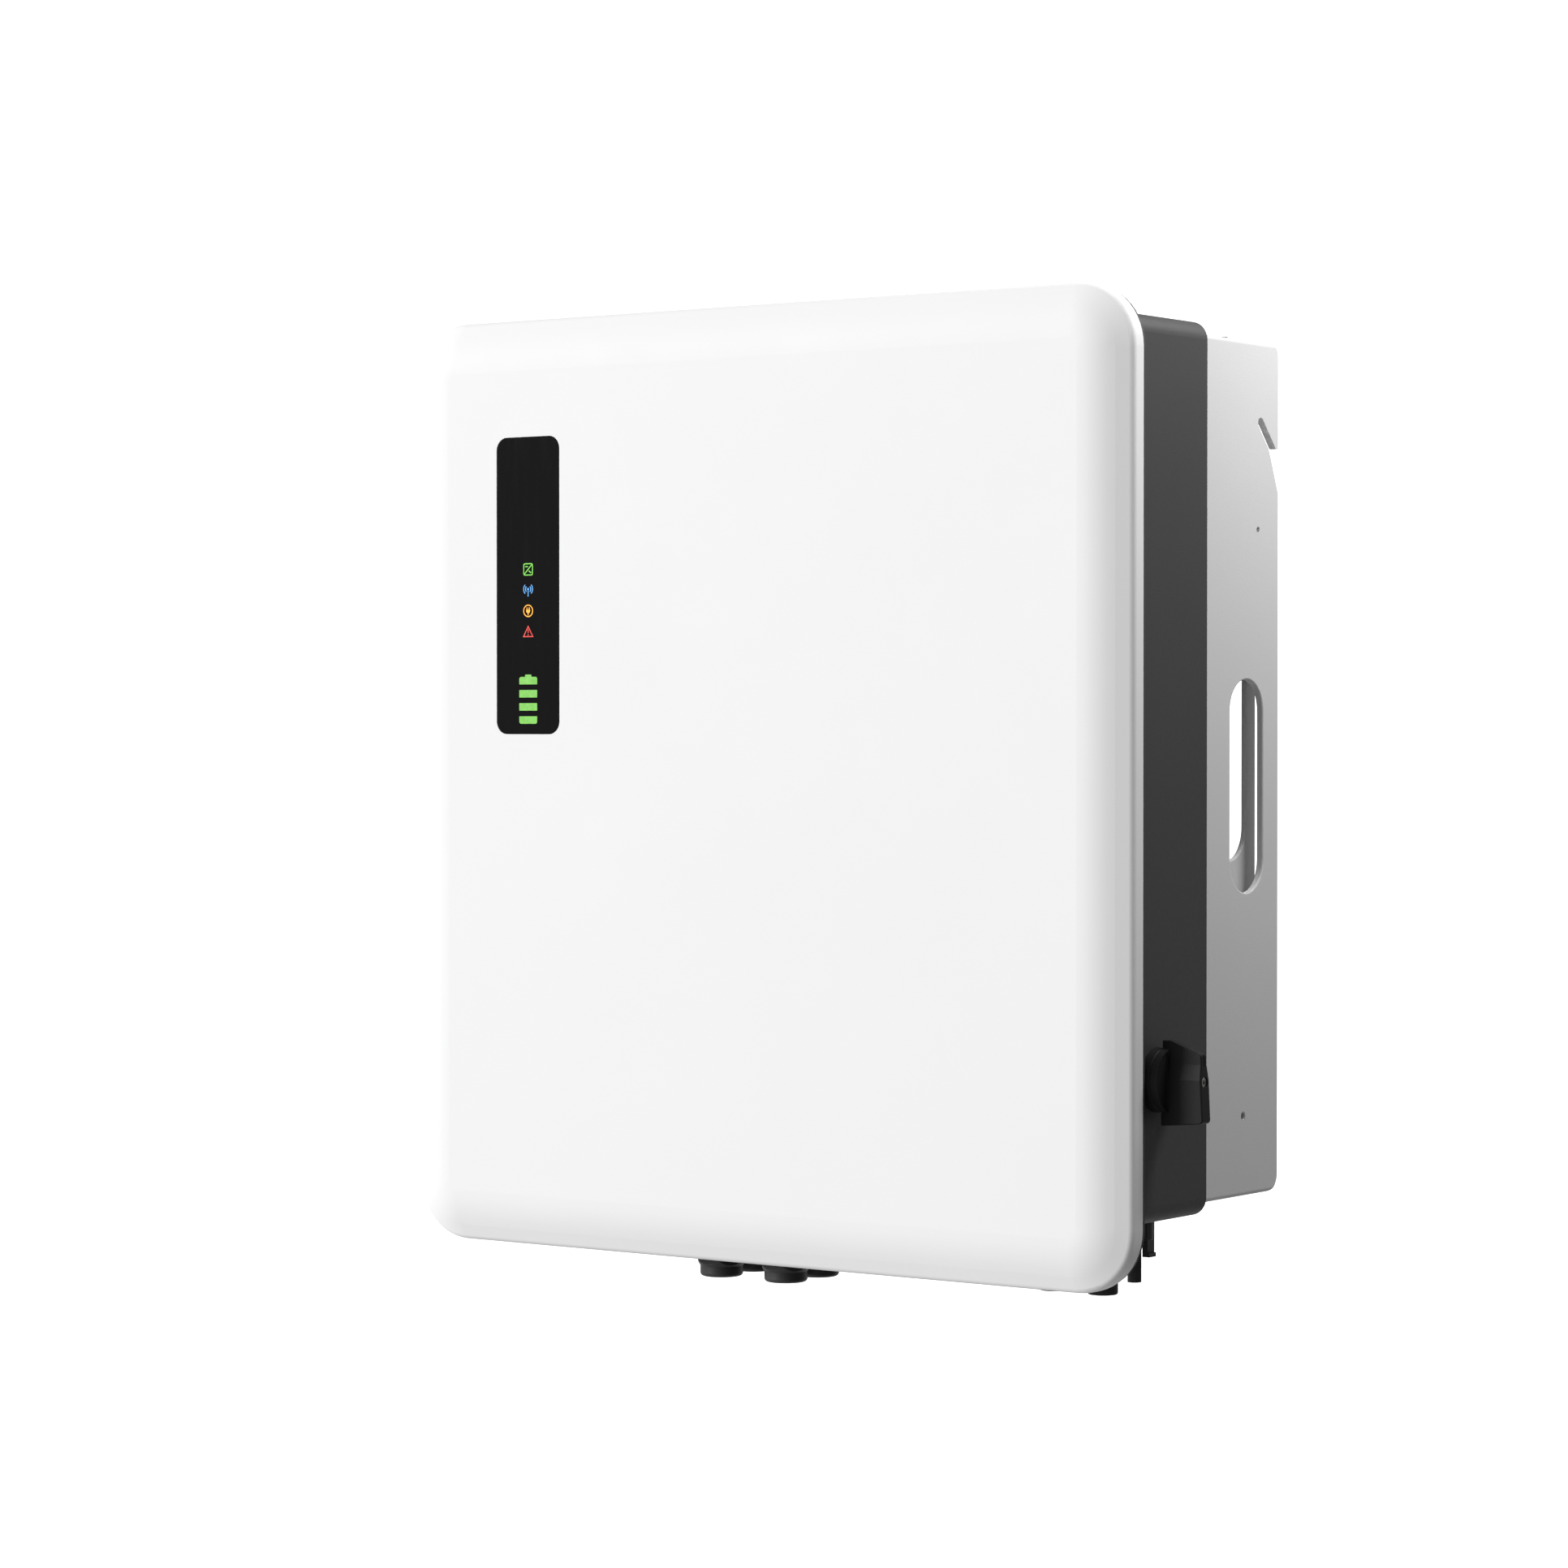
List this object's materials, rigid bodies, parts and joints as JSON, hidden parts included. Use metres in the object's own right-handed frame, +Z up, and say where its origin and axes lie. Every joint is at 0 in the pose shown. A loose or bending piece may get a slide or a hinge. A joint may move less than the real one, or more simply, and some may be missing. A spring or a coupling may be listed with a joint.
{
  "type": "wall-hung hybrid solar inverter",
  "caption": "Wall-hung hybrid solar inverter: white crowned cover with a display strip, dark housing, rotary switch, rear heatsink, and side plates with hand slots and hooks.",
  "frame": {"origin": "on the wall plane, midway between the seats of the two hook slots", "axes": "+X to the right of someone facing the unit, where the switch is; +Y back into the wall; +Z up"},
  "size_m": [0.5021, 0.165, 0.5325],
  "materials": {
    "cover_white": "satin white moulded cover",
    "display_smoke": "glossy smoked acrylic",
    "lamp_green": "lit green lamps and gauge bars",
    "housing_dark": "dark grey powder coat on die-cast aluminium",
    "plate_grey": "fine-textured light grey powder coat on steel sheet",
    "switch_black": "satin black moulded plastic",
    "connector_black": "satin black polyamide",
    "rubber_black": "black EPDM",
    "steel": "zinc-plated steel",
    "heatsink_aluminium": "extruded aluminium, sawn ends",
    "board_green": "solder-masked fibreglass",
    "component_black": "moulded component bodies",
    "capacitor_can": "sleeved aluminium cans",
    "potting_grey": "potted aluminium cans",
    "relay_blue": "blue moulded relay covers",
    "copper_winding": "enamelled copper windings",
    "brass_contact": "plated contact blades",
    "nylon_white": "natural nylon"
  },
  "bodies": {
    "housing": {"inner_lid": "housing_dark", "lid_gasket": "rubber_black", "lid_screws": "steel", "cover_studs": "nylon_white", "housing": "housing_dark", "heatsink": "heatsink_aluminium", "heatsink_gasket": "rubber_black", "heatsink_screws": "steel", "side_plate_right": "plate_grey", "side_plate_left": "plate_grey", "side_stiffener_right": "plate_grey", "side_stiffener_left": "plate_grey", "flange_screws": "steel", "stiffener_screws": "steel", "switch_collar": "switch_black", "switch_seal": "rubber_black", "switch_body": "component_black", "switch_contacts": "brass_contact", "wiring_box": "housing_dark", "wiring_box_gasket": "rubber_black", "wiring_box_screws": "steel", "gland_bodies": "connector_black", "gland_locknuts": "connector_black", "gland_seals": "rubber_black", "gland_plugs": "rubber_black", "pv_sockets": "connector_black", "pv_socket_caps": "rubber_black", "pv_plugs": "connector_black", "battery_connectors": "connector_black", "grid_connector": "connector_black", "backup_connector": "connector_black", "comm_port": "connector_black", "vent_plug": "connector_black", "connector_nuts": "connector_black", "earth_screw": "steel", "power_board": "board_green", "filter_board": "board_green", "control_board": "board_green", "board_standoffs": "steel", "board_screws": "steel", "power_modules": "component_black", "bus_capacitors": "capacitor_can", "inductors": "potting_grey", "relays": "relay_blue", "filter_chokes": "copper_winding"},
    "front_cover": {"front_cover": "cover_white", "cover_sockets": "nylon_white", "display_window": "display_smoke", "window_gasket": "rubber_black", "light_guides": "lamp_green", "led_board": "board_green", "led_board_screws": "steel"},
    "switch": {"switch_handle": "switch_black", "switch_shaft": "steel", "switch_handle_screw": "steel", "switch_rotor": "nylon_white"},
    "gland_nut_1": {"gland_nut_1": "connector_black"},
    "gland_nut_2": {"gland_nut_2": "connector_black"},
    "gland_nut_3": {"gland_nut_3": "connector_black"},
    "gland_nut_4": {"gland_nut_4": "connector_black"}
  },
  "joints": [
    {"name": "cover_pull", "type": "slide", "parent": "housing", "child": "front_cover", "axis": [0, -1, 0], "range_m": [0, 0.06]},
    {"name": "switch_turn", "type": "hinge", "parent": "housing", "child": "switch", "pos_m": [0.24, -0.1264, -0.3443], "axis": [-1, 0, 0], "range_deg": [0, 90]},
    {"name": "gland_nut_1_turn", "type": "hinge", "parent": "housing", "child": "gland_nut_1", "pos_m": [-0.047, -0.12345, -0.456], "axis": [0, 0, -1], "range_deg": [0, 540]},
    {"name": "gland_nut_2_turn", "type": "hinge", "parent": "housing", "child": "gland_nut_2", "pos_m": [-0.047, -0.09335, -0.456], "axis": [0, 0, -1], "range_deg": [0, 540]},
    {"name": "gland_nut_3_turn", "type": "hinge", "parent": "housing", "child": "gland_nut_3", "pos_m": [-0.0032, -0.12345, -0.456], "axis": [0, 0, -1], "range_deg": [0, 540]},
    {"name": "gland_nut_4_turn", "type": "hinge", "parent": "housing", "child": "gland_nut_4", "pos_m": [-0.0032, -0.09335, -0.456], "axis": [0, 0, -1], "range_deg": [0, 540]}
  ]
}
